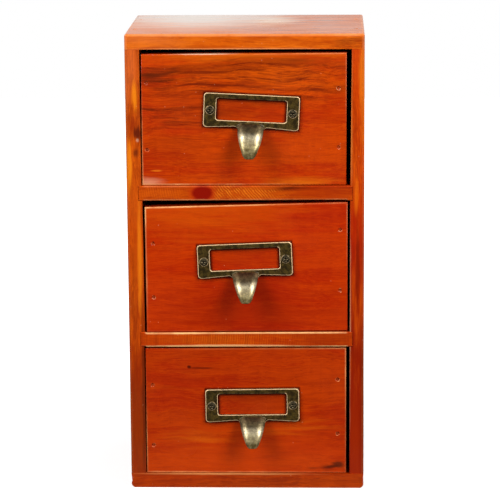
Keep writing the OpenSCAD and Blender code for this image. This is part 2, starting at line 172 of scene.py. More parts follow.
dark_share = reckon(t, "MULTIPLY_ADD", ramp_up(t, knife, 0.45, 0.7), given["Planer Marks"],
                    dark_share, clamp=True)
colour = mix(t, dark_share, colour, given["Dark"])
pores = ramp_up(t, cloud(t, grain, 170, 1, 0.5, (1, 12, 12))[0], 0.64, 0.74)
colour = mix(t, reckon(t, "MULTIPLY", pores, 0.4), colour, given["Dark"])
t.links.new(colour, gives["Color"])
t.links.new(bands, gives["Streak Mask"])
t.links.new(reckon(t, "MULTIPLY_ADD", pores, -0.6, fibre), gives["Height"])

# A soft-edged spot, such as a knot, a stain or a rubbed place
spot, given, gives = group(
    "spot",
    [("Vector", "Vector", (0, 0, 0)), ("Grain", "Vector", (0, 0, 0)),
     ("Centre", "Vector", (0, 0, 0)), ("Size", "Vector", (1, 1, 1)),
     ("Raggedness", "Float", 0.5), ("Softness", "Float", 0.6)],
    [("Mask", "Float")])
t = spot
away = vector(t, "SUBTRACT", given["Vector"], given["Centre"])
away = vector(t, "LENGTH", vector(t, "DIVIDE", away, given["Size"]))
torn = cloud(t, given["Grain"], 50, 4, 0.65, (0.6, 6, 6))[0]
torn = reckon(t, "SUBTRACT", torn, 0.5)
away = reckon(t, "MULTIPLY_ADD", torn, reckon(t, "MULTIPLY", given["Raggedness"], 3), away)
t.links.new(ramp_up(t, away, 1, reckon(t, "SUBTRACT", 1, given["Softness"])), gives["Mask"])

# Where hands and sanding have thinned the finish on an edge, broken up along its length
edge_wear, given, gives = group(
    "edge wear",
    [("Vector", "Vector", (0, 0, 0)), ("Edge", "Float", 0), ("Length", "Float", 40),
     ("Amount", "Float", 0.7)],
    [("Mask", "Float")])
t = edge_wear
broken = cloud(t, given["Vector"], given["Length"], 4, 0.7)[0]
reach = put(t, "MapRange", {"Value": broken, "From Min": 0.4, "From Max": 0.64,
                            "To Min": 0.35, "To Max": 1.1}).outputs[0]
t.links.new(reckon(t, "MULTIPLY", reckon(t, "MULTIPLY", ramp_up(t, given["Edge"], 0, 1), reach),
                   given["Amount"], clamp=True), gives["Mask"])

# Pale specks of dust caught in the lacquer
specks, given, gives = group(
    "lacquer specks", [("Vector", "Vector", (0, 0, 0)), ("Spacing", "Float", 0.006)],
    [("Mask", "Float")])
t = specks
cells = put(t, "TexVoronoi", {"Vector": given["Vector"],
                              "Scale": reckon(t, "DIVIDE", 1, given["Spacing"])}).outputs
chosen = reckon(t, "GREATER_THAN", put(t, "SeparateColor", {0: cells["Color"]}).outputs[0], 0.6)
t.links.new(reckon(t, "MULTIPLY", ramp_up(t, cells["Distance"], 0.07, 0.03), chosen),
            gives["Mask"])

# Painted shade round a label plate and inside its window's rims, darkest under the upper rim,
# where the plate's shadow falls; the vector is measured from the plate's middle
plate_shade, given, gives = group("painted shade round a plate", [("Vector", "Vector", (0, 0, 0))],
                            [("Mask", "Float")])
t = plate_shade
axes = put(t, "SeparateXYZ", {0: given["Vector"]}).outputs
aside = reckon(t, "ABSOLUTE", axes[0])
pane = reckon(t, "MULTIPLY", ramp_up(t, axes[2], -6.2 * mm, -5.9 * mm),
              ramp_up(t, axes[2], 7.5 * mm, 5.7 * mm))
pane = reckon(t, "MULTIPLY", pane, ramp_up(t, aside, 22.0 * mm, 20.2 * mm))
near = reckon(t, "MULTIPLY", ramp_up(t, aside, 31.4 * mm, 30 * mm),
              ramp_up(t, reckon(t, "ABSOLUTE", axes[2]), 12.4 * mm, 10.6 * mm))
near = reckon(t, "MULTIPLY", near, ramp_up(t, axes[1], -50 * mm, -51.5 * mm))
t.links.new(reckon(t, "MULTIPLY", near, reckon(t, "SUBTRACT", 1, pane)), gives["Mask"])

ALONG_X, ALONG_Y, ALONG_Z = (0, 0, 0), (0, 0, math.radians(-90)), (0, math.radians(90), 0)


def stain(centre, size, tint, share=0.6, ragged=0.5, soft=0.7, streaked=False, sawn=None):
    """A place on a board, in mm, that differs from the rest. Streaked keeps to its streaks,
    and sawn to the lines a saw left, leaning by so many degrees."""
    return {"Centre": [mm * v for v in centre], "Size": [mm * v for v in size],
            "Raggedness": ragged, "Softness": soft}, tint, share, streaked, sawn


def pine(name, grain, heart, pale, middle, dark, rings=0.25, spacing=4, streaks=0.5,
         blotches=0.6, knives=0.06, stains=(), pools=(), label=None, worn=(0.95, 0.38, 0.14),
         wear=0.6, gloss=0.22):
    """Stained and lacquered pine. grain turns the figure, heart is where the log's middle
    lies, in mm, and label is where a label plate is, and its tilt."""
    made, tree, shader, place = bare(name)
    along = put(tree, "Mapping", {"Vector": place, "Rotation": grain,
                                  "Location": [mm * v for v in heart]}).outputs[0]
    figure = use(tree, pine_figure, {
        "Vector": along, "Ring Spacing": spacing * mm, "Rings": rings, "Streaks": streaks,
        "Blotches": blotches, "Planer Marks": knives, "Pale": (*pale, 1),
        "Middle": (*middle, 1), "Dark": (*dark, 1)})
    colour = figure["Color"]
    for inputs, tint, share, streaked, sawn in stains:
        mask = reckon(tree, "MULTIPLY", use(tree, spot, {
            "Vector": place, "Grain": along, **inputs})["Mask"], share)
        if streaked:
            mask = reckon(tree, "MULTIPLY", mask, figure["Streak Mask"])
        if sawn is not None:
            turned = put(tree, "Mapping", {"Vector": place,
                                           "Rotation": (0, math.radians(sawn), 0)}).outputs[0]
            lines = put(tree, "TexWave", {"Vector": turned, "Scale": 210, "Distortion": 3,
                                          "Detail": 2, "Detail Scale": 1.5}).outputs["Fac"]
            patchy = ramp_up(tree, cloud(tree, place, 260, 3, 0.6)[0], 0.3, 0.6)
            mask = reckon(tree, "MULTIPLY", mask, reckon(
                tree, "MULTIPLY", ramp_up(tree, lines, 0.35, 0.9), patchy))
        colour = mix(tree, mask, colour, (*tint, 1))
    if label:
        x, z, tilt = label
        plate = vector(tree, "SUBTRACT", place, (x * mm, 0, z * mm))
        plate = put(tree, "Mapping", {"Vector": plate,
                                      "Rotation": (0, math.radians(tilt), 0)}).outputs[0]
        # painted shade round the label plate and under its window's rims
        shade_round_plate = reckon(tree, "MULTIPLY", use(tree, plate_shade, {"Vector": plate})["Mask"], 0.9)
        colour = mix(tree, shade_round_plate, colour, (0.035, 0.003, 0.0005, 1))
    edge = put(tree, "Attribute", attribute_name="edge").outputs["Fac"]
    colour = mix(tree, ramp_up(tree, edge, 0, -0.8), colour, (0.20, 0.014, 0.002, 1))
    rubbed = use(tree, edge_wear, {"Vector": place, "Edge": edge, "Amount": wear})["Mask"]
    colour = mix(tree, rubbed, colour, (*worn, 1))
    dust = use(tree, specks, {"Vector": place})["Mask"]
    colour = mix(tree, reckon(tree, "MULTIPLY", dust, 0.3), colour, (0.9, 0.4, 0.2, 1))
    tree.links.new(colour, shader.inputs["Base Color"])
    thick = 0
    for inputs, _, share, *_ in pools:
        mask = use(tree, spot, {"Vector": place, "Grain": along, **inputs})["Mask"]
        thick = reckon(tree, "MULTIPLY_ADD", mask, share, thick)
    if pools:
        tree.links.new(thick, shader.inputs["Coat Weight"])
        shader.inputs["Coat Roughness"].default_value = 0.15
    sheen = cloud(tree, place, 30, 2, 0.5)[0]
    roughen(tree, sheen, gloss - 0.05, gloss + 0.07, 0.3, 0.7)
    shader.inputs["Specular IOR Level"].default_value = 0.25
    wavy = cloud(tree, place, 45, 1, 0.4)[0]
    waves = put(tree, "Bump", {"Height": wavy, "Strength": 0.5, "Distance": 0.3 * mm})
    fibres = put(tree, "Bump", {"Height": figure["Height"], "Strength": 0.35,
                                "Distance": 0.05 * mm, "Normal": waves.outputs[0]})
    tree.links.new(fibres.outputs[0], shader.inputs["Normal"])
    return made


def bring_in(name, data):
    """Sets a new object into the scene."""
    made = bpy.data.objects.new(name, data)
    bpy.context.scene.collection.objects.link(made)
    return made


def finish(bm, name, material, body, replaced, sharp=35):
    """Turns a bmesh drawn in millimetres into a finished piece on its body."""
    bmesh.ops.scale(bm, vec=(mm, mm, mm), verts=bm.verts)
    bmesh.ops.recalc_face_normals(bm, faces=bm.faces)
    mesh = bpy.data.meshes.new(name)
    bm.to_mesh(mesh)
    bm.free()
    mesh.shade_smooth()
    mesh.set_sharp_from_angle(angle=math.radians(sharp))
    piece = bring_in(name, mesh)
    mesh.materials.append(material)
    evened = piece.modifiers.new("even shading", "WEIGHTED_NORMAL")
    evened.keep_sharp = True
    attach(piece, body)
    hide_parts(*replaced)
    return piece


def block(low, high):
    """A square block between two corners."""
    bm = bmesh.new()
    bmesh.ops.create_cube(bm, size=1)
    bmesh.ops.translate(bm, vec=(0.5, 0.5, 0.5), verts=bm.verts)
    bmesh.ops.scale(bm, vec=Vector(high) - Vector(low), verts=bm.verts)
    bmesh.ops.translate(bm, vec=low, verts=bm.verts)
    return bm


def at(a, b):
    return abs(a - b) < 1e-3


def edges_at(bm, **where):
    """The edges that lie on all the given planes, such as x=75, z=10."""
    return [e for e in bm.edges if all(at(getattr(v.co, axis), value) for v in e.verts
                                       for axis, value in where.items())]


def saw(bm, point, across):
    """Parts the faces along a plane, and keeps both halves."""
    bmesh.ops.bisect_plane(bm, geom=bm.verts[:] + bm.edges[:] + bm.faces[:], plane_co=point,
                           plane_no=across, dist=1e-5)


def draw_out(bm, faces, by):
    """Draws faces out, and leaves walls behind them and the faces where they were."""
    out = bmesh.ops.extrude_face_region(bm, geom=faces)["geom"]
    bmesh.ops.translate(bm, vec=by, verts=[v for v in out if isinstance(v, bmesh.types.BMVert)])


def leave_rebate(bm, kept):
    """Draws a board that ends at the panel out to the cabinet's back, where kept says so of
    an x and z, and leaves the rebate."""
    faces = []
    for f in bm.faces:
        x, y, z = f.calc_center_median()
        if at(y, panel_y) and kept(x, z):
            faces.append(f)
    draw_out(bm, faces, (0, back_y - panel_y, 0))
    bmesh.ops.delete(bm, geom=[f for f in faces if f.is_valid], context="FACES")
    bmesh.ops.dissolve_limit(bm, angle_limit=0.01, verts=bm.verts, edges=bm.edges)


def long_board(foot, head, cut, outward):
    """A board as wide as the cabinet. Its rebate reaches to the height cut; outward is 1
    where the board's outside is up, and -1 where it is down."""
    bm = block((-half_w, front_y, foot), (half_w, panel_y, head))
    saw(bm, (0, 0, cut), (0, 0, 1))
    saw(bm, (rebate_x, 0, 0), (1, 0, 0))
    saw(bm, (-rebate_x, 0, 0), (1, 0, 0))
    leave_rebate(bm, lambda x, z: (z - cut) * outward > 0 or abs(x) > rebate_x)
    return bm


def ease(bm, edges, radius, segments=3, rim=0.0, worn=True):
    """Rounds edges over. The last call gives a rim, the strip beside the roundings over
    which their wear dies away, and marks the worn roundings as the edge."""
    rounding = bm.faces.layers.int.get("rounding") or bm.faces.layers.int.new("rounding")
    for f in bmesh.ops.bevel(
            bm, geom=edges, offset=radius, offset_type="OFFSET", affect="EDGES",
            segments=segments, profile=0.5, material=-1, clamp_overlap=True)["faces"]:
        f[rounding] = 2 if worn else 1
    if rim:
        for f in bmesh.ops.inset_region(
                bm, faces=[f for f in bm.faces if not f[rounding]], thickness=rim,
                use_boundary=True, use_even_offset=True)["faces"]:
            f[rounding] = 0
        edge = bm.verts.layers.float.new("edge")
        for v in bm.verts:
            v[edge] = any(f[rounding] == 2 for f in v.link_faces)


def dimple(bm, places, facing, radius=1.05, depth=0.45):
    """Lets a slightly ragged dimple into the flat face under each place, over a brad. Its rim
    is marked as an edge, where the lacquer has chipped pale; its lower side is a painted
    highlight."""
    facing = Vector(facing)
    edge = bm.verts.layers.float.get("edge")
    host = max((f for f in bm.faces if f.normal.dot(facing) > 0.99), key=lambda f: f.calc_area())
    plane = host.calc_center_median().dot(facing)
    border, rings = list(host.edges), []
    bmesh.ops.delete(bm, geom=[host], context="FACES_ONLY")
    turn = facing.to_track_quat("Z", "Y").to_matrix().to_4x4()
    for place in places:
        spot_at = Vector(place) + facing * (plane - Vector(place).dot(facing))
        ring = bmesh.ops.create_circle(bm, segments=14, radius=radius * 1.4,
                                       matrix=Matrix.Translation(spot_at) @ turn)["verts"]
        for v in ring:
            v.co += (v.co - spot_at) * 0.25 * noise.noise(v.co * 1.3)
        rings.append((spot_at, ring, list(dict.fromkeys(e for v in ring for e in v.link_edges))))
    bmesh.ops.triangle_fill(bm, use_beauty=True, use_dissolve=False, normal=facing,
                            edges=border + [e for _, _, edges in rings for e in edges])
    for spot_at, ring, edges in rings:
        # the chipped rim, painted paler on its lower side as a highlight, then the slope and the
        # bottom, marked darker
        for inset, sink, mark in ((0.12, 0, 1), (0.2, 0.15, -0.2), (0.3, depth, -1)):
            sunk = bmesh.ops.extrude_edge_only(bm, edges=edges)["geom"]
            foot = [v for v in sunk if isinstance(v, bmesh.types.BMVert)]
            edges = [e for e in sunk if isinstance(e, bmesh.types.BMEdge)
                     and all(v in foot for v in e.verts)]
            for v in foot:
                # the rim's lower side is marked paler: a painted highlight where the lip faces up
                # to the light
                low = (spot_at - v.co).normalized().z if not facing.z else 0
                v.co += (spot_at - v.co) * inset - facing * sink
                v[edge] = mark
                if mark == 1:
                    v[edge] = 0.3 + 0.5 * low + 2.6 * noise.noise(v.co * 1.1 + facing * 9)
        bmesh.ops.contextual_create(bm, geom=foot + edges)


brad_x, brad_y = 70.2, 26.5
end_brads = [(x, y) for x in (-brad_x, brad_x) for y in (-brad_y, brad_y)]

bm = long_board(cabinet_h - board_t, cabinet_h, cabinet_h - rebate_z, 1)
corners = [e for x in (-half_w, half_w) for y in (front_y, back_y) for e in edges_at(bm, x=x, y=y)]
ease(bm, edges_at(bm, z=cabinet_h) + corners, arris_r, 3, rim=0.7)
dimple(bm, [(x, y, cabinet_h) for x, y in end_brads], (0, 0, 1))
umber, russet, cherry = (0.09, 0.012, 0.002), (0.24, 0.018, 0.0008), (0.30, 0.007, 0.0005)
# The second, pale tint here is the one used for painted highlights.
amber, highlight_tint = (0.80, 0.17, 0.006), (0.92, 0.62, 0.42)
# Streaks, the rubbed front edge, and the upper face painted pale: partly dust, partly a painted
# reflection
top_stains = [
    stain((66, front_y, 288), (14, 10, 8), umber, 0.4, streaked=True),
    stain((-5, front_y, 285.2), (75, 3, 0.8), (0.95, 0.42, 0.16), 0.5, ragged=0.3, soft=0.8),
    stain((-65, front_y, 291), (35, 8, 8), (0.95, 0.28, 0.08), 0.2, soft=1),
    stain((0, 0, cabinet_h), (220, 200, 1.5), (0.88, 0.27, 0.05), 0.45, ragged=0, soft=0.5),
    stain((30, 0, cabinet_h), (90, 90, 2), umber, 0.6, streaked=True),
    # painted reflection of the light on the upper face, whitest at the back left and in the middle
    stain((-35, 40, cabinet_h), (75, 90, 2), (1, 0.80, 0.64), 0.95, ragged=0.3, soft=1),
    stain((15, 20, cabinet_h), (24, 40, 2), (1, 0.70, 0.48), 0.7, ragged=0.3, soft=1),
    stain((-60, -40, cabinet_h), (30, 30, 2), (0.60, 0.20, 0.08), 0.4, soft=1)]
top_pools = [
    stain((-40, 45, cabinet_h), (90, 70, 5), None, 1, soft=1),
    stain((15, 20, cabinet_h), (30, 45, 5), None, 0.25, soft=1)]
top_pine = pine("top board pine", ALONG_X, (0, 20, -270), (0.86, 0.18, 0.006),
                (0.72, 0.105, 0.001), (0.34, 0.026, 0.001), rings=0.25, streaks=0.4, spacing=5,
                wear=0.45, stains=top_stains, pools=top_pools)
finish(bm, "top_board_planed", top_pine, "cabinet", ["top_board"])

foot_r = 3                          # rounding under the bottom board's ends
bm = long_board(0, board_t, rebate_z, -1)
ease(bm, [e for x in (-half_w, half_w) for e in edges_at(bm, x=x, z=0)], foot_r, 6)
ease(bm, edges_at(bm, z=0, y=front_y) + edges_at(bm, z=0, y=back_y), arris_r, 3, rim=0.7)
dimple(bm, [(x, y, 0) for x, y in end_brads], (0, 0, -1))
rubbed_head = stain((-15, front_y, 9.3), (75, 4, 1), (0.95, 0.40, 0.12), 0.6, ragged=0.3,
                    soft=0.8)
bottom_pine = pine("bottom board pine", ALONG_X, (40, 25, 60), (0.56, 0.062, 0.001),
                   (0.47, 0.036, 0.0006), (0.18, 0.014, 0.0006), rings=0.2, streaks=0.3,
                   spacing=5, wear=0.3, stains=[rubbed_head])
finish(bm, "bottom_board_planed", bottom_pine, "cabinet", ["bottom_board"])

# ---------- Side boards ----------
# Two upright boards between the top and the bottom, grain running up. Each has a shallow
# housing sawn across its inner face for either divider, and the rebate down its back edge.

inner_x, housed_x = 65.4, 67.8
divider_zs = [(94.1, 103.7), (188.9, 198.5)]
planed_off = {  # how much more is off the front inner edge, at these heights
    -1: {board_t: 0, 94.1: 0, 103.7: -0.6, 188.9: -0.2, 198.5: 0.2, 284.9: 0.4},
    1: {board_t: 0.55, 94.1: 0.55, 103.7: 0.6, 188.9: 0.65, 198.5: 0.8, 284.9: 1.6}}


def slab(outline, front, back):
    """A board from its outline in X and Z, between two planes across Y."""
    bm = bmesh.new()
    face = bm.faces.new([bm.verts.new((x, front, z)) for x, z in outline])
    draw_out(bm, [face], (0, back - front, 0))
    bmesh.ops.recalc_face_normals(bm, faces=bm.faces)
    return bm


def side_board(side):
    """The left board, -1, or the right one, 1."""
    outline = [(half_w, board_t), (half_w, cabinet_h - board_t), (inner_x, cabinet_h - board_t)]
    for low, high in reversed(divider_zs):
        outline += [(inner_x, high), (housed_x, high), (housed_x, low), (inner_x, low)]
    outline.append((inner_x, board_t))
    bm = slab([(side * x, z) for x, z in outline], front_y, panel_y)
    saw(bm, (side * rebate_x, 0, 0), (1, 0, 0))
    leave_rebate(bm, lambda x, z: abs(x) > rebate_x)
    inner = edges_at(bm, x=side * inner_x, y=front_y)
    for v in {v for e in inner for v in e.verts}:
        v.co.x += side * planed_off[side][round(v.co.z, 1)]
    ease(bm, inner, 0.5, 2, worn=False)
    ease(bm, [e for y in (front_y, back_y) for e in edges_at(bm, x=side * half_w, y=y)],
         arris_r, 3, rim=0.5)
    bmesh.ops.recalc_face_normals(bm, faces=bm.faces)
    dimple(bm, [(side * half_w, y, sum(zs) / 2) for zs in divider_zs for y in (-brad_y, brad_y)],
           (side, 0, 0))
    return bm


joint = stain((0, front_y, cabinet_h - board_t), (200, 6, 0.5), umber, 0.6, ragged=0, soft=0.9)
knot = (0.11, 0.010, 0.003)
# The joint, darker towards the foot, pale streaks, dark streaks, and two knots, one with a painted
# highlight
left_stains = [
    joint,
    stain((-75, 0, 0), (60, 300, 135), (0.30, 0.024, 0.001), 0.85, ragged=0.5, soft=0.5),
    stain((-75, 0, 80), (60, 300, 30), (0.32, 0.015, 0.0006), 0.5, soft=1),
    stain((-75, 0, 165), (60, 300, 45), (0.56, 0.048, 0.0006), 0.5, soft=1),
    stain((-72, front_y, 275), (9, 12, 38), (0.90, 0.22, 0.06), 0.25, soft=1),
    stain((-69, front_y, 255), (3, 12, 13), (0.90, 0.24, 0.006), 0.8),
    stain((-73, front_y, 210), (2.4, 12, 24), (0.90, 0.24, 0.006), 0.8),
    stain((-67.5, front_y, 155), (2, 12, 52), (0.90, 0.22, 0.006), 0.7),
    stain((-66.3, front_y, 60), (1.6, 12, 75), umber, 0.6),
    stain((-69, front_y, 50), (7, 20, 70), (0.15, 0.045, 0.006), 0.25, streaked=True),
    stain((-71, front_y, 237), (6, 16, 13), (0.30, 0.022, 0.002), 0.8, soft=1),
    stain((-68, front_y, 232), (3.4, 16, 6), knot, 0.9, ragged=0.6),
    stain((-69, front_y, 219.5), (2.8, 16, 5), knot, 0.75, ragged=0.5),
    # a painted highlight on the upper knot
    stain((-68.0, front_y, 227.6), (1.3, 3, 1.7), highlight_tint, 0.35, ragged=1.2)]
left_pine = pine("left side pine", ALONG_Z, (20, 30, 40), (0.74, 0.12, 0.003),
                 (0.56, 0.060, 0.001), (0.20, 0.016, 0.001), rings=0.2, streaks=0.4, spacing=5,
                 wear=0.12, worn=(0.92, 0.34, 0.08), stains=left_stains)
finish(side_board(-1), "left_side_planed", left_pine, "cabinet", ["left_side"])
# The joint, a pale head, the darkening foot, streaks, and the rubbed inner edge
right_stains = [
    joint,
    stain((74.5, front_y, 262), (3.5, 8, 45), (0.95, 0.24, 0.008), 0.5),
    stain((72, 0, 165), (40, 300, 50), (0.44, 0.012, 0.0003), 0.85, soft=1),
    stain((75, 0, 0), (60, 300, 205), (0.29, 0.010, 0.0002), 0.95, ragged=0.4, soft=0.7),
    stain((75, front_y, 60), (4, 30, 70), (0.16, 0.007, 0.0002), 0.7, ragged=0.5, soft=1),
    stain((70, front_y, 192), (2.2, 12, 15), (0.90, 0.17, 0.003), 0.5),
    stain((71, front_y, 150), (1.6, 14, 42), (0.16, 0.008, 0.0004), 0.6, ragged=0.5),
    stain((67.5, front_y, 92), (5, 6, 24), (0.24, 0.008, 0.0002), 0.7, soft=1),
    stain((69, front_y, 25), (7, 6, 50), (0.50, 0.040, 0.001), 0.3, soft=1),
    stain((66.9, front_y, 245), (1, 6, 70), (0.90, 0.34, 0.06), 0.4, soft=1),
    stain((66, front_y, 110), (1.1, 6, 90), (0.90, 0.42, 0.22), 0.5, ragged=0.4, soft=1)]
right_pine = pine("right side pine", ALONG_Z, (30, -30, 20), (0.74, 0.10, 0.001),
                  (0.60, 0.048, 0.0006), (0.24, 0.014, 0.0006), rings=0.25, streaks=0.4,
                  spacing=6, wear=0.12, worn=(0.92, 0.34, 0.08), stains=right_stains)
finish(side_board(1), "right_side_planed", right_pine, "cabinet", ["right_side"])

# ---------- Dividers ----------
# Two boards that the upper drawers slide on, housed in the sides and flush with their
# front edges, where their ends show. Between the sides each is planed a little out of level.

shoulder = 2            # beside each side board, where the planing runs out
divider_tilts = {       # what the head's and the foot's left and right ends are off by
    "upper_divider": [(0, 0), (0, 0.5)], "lower_divider": [(-0.7, 0), (-0.5, -0.1)]}
divider_rubs = {        # how far the lacquer is rubbed off there
    "upper_divider": [(0.5, 0), (1, 0.9)], "lower_divider": [(1, 0.6), (1, 0.9)]}
joints = [stain((x, front_y, 150), (0.6, 6, 200), umber, 0.5, ragged=0, soft=0.9)
          for x in (-housed_x, housed_x)]
# Dark streaks at the right, saw marks that show pale, and a knot in its ring
upper_stains = joints + [
    stain((42, front_y, 196), (38, 20, 6), (0.16, 0.010, 0.001), 0.9, streaked=True),
    stain((30, front_y, 197), (24, 20, 2.2), (0.08, 0.008, 0.001), 0.85, soft=1),
    stain((50, front_y, 194), (30, 20, 8), (0.40, 0.022, 0.0008), 0.6),
    stain((-2, front_y, 194), (34, 8, 9), (0.92, 0.26, 0.012), 0.75, soft=1, sawn=40),
    stain((-55, front_y, 194), (26, 8, 9), (0.84, 0.15, 0.004), 0.35, soft=1, sawn=10),
    stain((-27.3, front_y, 193.6), (10.5, 10, 9), (0.52, 0.030, 0.001), 0.8, ragged=0.2,
          soft=0.5),
    stain((-27.3, front_y, 193.8), (7.8, 10, 6), (0.27, 0.005, 0.0002), 1, ragged=0.15,
          soft=0.4)]
upper_pine = pine("upper divider pine", ALONG_X, (10, 20, -230), (0.62, 0.088, 0.001),
                  (0.52, 0.046, 0.0006), (0.26, 0.018, 0.001), rings=0.15, streaks=0.3, wear=0.5,
                  stains=upper_stains)
# A reddish right end, faint saw marks, and the rubbed foot, with a pale strip painted above it as
# its highlight
lower_stains = joints + [
    stain((50, front_y, 99), (30, 20, 9), russet, 0.4),
    stain((-10, front_y, 99), (70, 8, 12), (0.88, 0.20, 0.006), 0.3, soft=1, sawn=-4),
    stain((-20, front_y, 99), (40, 20, 9), amber, 0.15, soft=1),
    # a painted highlight just above the foot's rounding
    stain((-12, front_y, 94.7), (60, 3, 1), (0.98, 0.50, 0.20), 0.7, ragged=0.3, soft=0.8)]
lower_pine = pine("lower divider pine", ALONG_X, (70, 30, -60), (0.63, 0.070, 0.0008),
                  (0.51, 0.036, 0.0005), (0.30, 0.02, 0.001), rings=0.1, streaks=0.2,
                  knives=0.35, wear=0.95, worn=(0.95, 0.56, 0.22), stains=lower_stains)
for name, (low, high), material in (("upper_divider", divider_zs[1], upper_pine),
                                    ("lower_divider", divider_zs[0], lower_pine)):
    bm = block((-housed_x, front_y, low), (housed_x, panel_y, high))
    for x in (-inner_x, -inner_x + shoulder, inner_x - shoulder, inner_x):
        saw(bm, (x, 0, 0), (1, 0, 0))
    ease(bm, edges_at(bm, y=front_y, z=low) + edges_at(bm, y=front_y, z=high), 0.7, 3, rim=0.5)
    edge = bm.verts.layers.float.get("edge")
    for v in bm.verts:
        at_foot, right = v.co.z < (low + high) / 2, v.co.x > 0
        planed = abs(v.co.x) < inner_x - shoulder / 2
        v[edge] *= divider_rubs[name][at_foot][right] if planed else 0
        v.co.z += divider_tilts[name][at_foot][right] if planed else 0
    finish(bm, name + "_planed", material, "cabinet", [name])

# ---------- Back panel, brads and pins ----------
# Thin plywood let into the rebate and pinned; the boards' brads are set just below the
# wood. All keep their CAD solids and get their finishes here.


def plywood(name, pale, dark):
    """Rotary-cut ply: broad wandering figure, a flat finish, and the grain upright."""
    made, tree, shader, place = bare(name)
    along = put(tree, "Mapping", {"Vector": place, "Rotation": ALONG_Z}).outputs[0]
    broad = ramp_up(tree, cloud(tree, along, 9, 3, 0.5, (0.5, 1, 3))[0], 0.3, 0.7)
    lines = cloud(tree, along, 26, 3, 0.6, (0.25, 1, 7))[0]
    colour = mix(tree, broad, (*pale, 1), (*dark, 1))
    colour = mix(tree, reckon(tree, "MULTIPLY", ramp_up(tree, lines, 0.5, 0.72), 0.45), colour,
                 (*(0.6 * v for v in dark), 1))
    tree.links.new(colour, shader.inputs["Base Color"])
    roughen(tree, lines, 0.5, 0.62)
    raised = put(tree, "Bump", {"Height": lines, "Strength": 0.3, "Distance": 0.08 * mm})
    tree.links.new(raised.outputs[0], shader.inputs["Normal"])
    return made


def dress(nodes, material):
    """Gives CAD pieces that keep their shape a finish."""
    for node in nodes:
        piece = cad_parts[node]
        piece.data.materials.clear()
        piece.data.materials.append(material)
        piece.material_slots[0].link = "OBJECT"
        piece.material_slots[0].material = material


dress(["back_panel"], plywood("stained plywood", (0.42, 0.10, 0.012), (0.30, 0.055, 0.006)))

steel, tree, shader, place = bare("brown steel")
rust = ramp_up(tree, cloud(tree, place, 900, 3, 0.6)[0], 0.4, 0.65)
tree.links.new(mix(tree, rust, (0.42, 0.050, 0.006, 1), (0.20, 0.018, 0.003, 1)),
               shader.inputs["Base Color"])
roughen(tree, rust, 0.35, 0.7)
shader.inputs["Specular IOR Level"].default_value = 0.15
drawers = ("top", "middle", "bottom")
dress(["top_board_brads", "bottom_board_brads", "left_side_brads", "right_side_brads",
       "back_panel_pins"] + [name + "_drawer_brads" for name in drawers], steel)

# ---------- Drawer boxes ----------
# Sides and backs of planed pine, wiped with thin stain, bradded together round a plywood
# bottom that sits in grooves. They keep their CAD solids.

box_pine = pine("box pine", ALONG_Y, (20, 20, -30), (0.62, 0.30, 0.10), (0.52, 0.20, 0.055),
                (0.30, 0.08, 0.02), rings=0.5, streaks=0.4, spacing=5, gloss=0.45)
cross_pine = pine("box back pine", ALONG_X, (20, 20, -30), (0.62, 0.30, 0.10),
                  (0.52, 0.20, 0.055), (0.30, 0.08, 0.02), rings=0.5, streaks=0.4, spacing=5,
                  gloss=0.45)
dress([name + "_drawer_" + part for name in drawers for part in ("left_side", "right_side")],
      box_pine)
dress([name + "_drawer_back" for name in drawers], cross_pine)
dress([name + "_drawer_bottom" for name in drawers],
      plywood("box plywood", (0.55, 0.30, 0.13), (0.45, 0.21, 0.075)))

# ---------- Drawer fronts ----------
# Each front is a hand-cut board, a little out of square with its opening, its edges
# rounded by sanding, bradded on from the front through four ragged dimples.

front_face, front_back = -52, -43
front_shapes = {        # left foot, right foot, right head, left head, and the brads, in x and z
    "top": ([(-65.15, 198.85), (63.6, 198.9), (63.8, 282.5), (-64.75, 281.7)],
            [(-61.7, 221.3), (-61.7, 263.7), (58.8, 222.9), (58.8, 260.3)]),
    "middle": ([(-63.65, 103.4), (64.5, 104.5), (64.5, 187.7), (-63.85, 184.5)],
               [(-58.85, 126.1), (-58.85, 161.1), (59.75, 130.7), (59.75, 170.1)]),
    "bottom": ([(-65.0, 9.9), (63.7, 9.9), (63.7, 93.2), (-64.8, 92.6)],
               [(-60.4, 28.2), (-60.4, 68.2), (58.3, 36.2), (58.3, 72.2)])}
pull_places = {         # each pull's middle in x and z, and its tilt in degrees
    "top": (4.2, 245.7, -2.8), "middle": (-0.6, 150.6, 2.3), "bottom": (3.6, 55.3, 0.8)}
# How far the lacquer is rubbed off each edge: foot and head from left to right, and left
# and right from the foot up
front_rubs = {
    "top": {"foot": (0.6, 0), "head": (0.1, 0.4), "left": (0.9, 0), "right": (1, 0.6)},
    "middle": {"foot": (0.2, 0), "head": (0.5, 0.3), "left": (0.9, 0.8), "right": (0.05, 0.1)},
    "bottom": {"foot": (0.8, 0.2), "head": (0.6, 0.6), "left": (0.9, 0), "right": (0.3, 0.4)}}
banded = (0.17, 0.012, 0.0008)
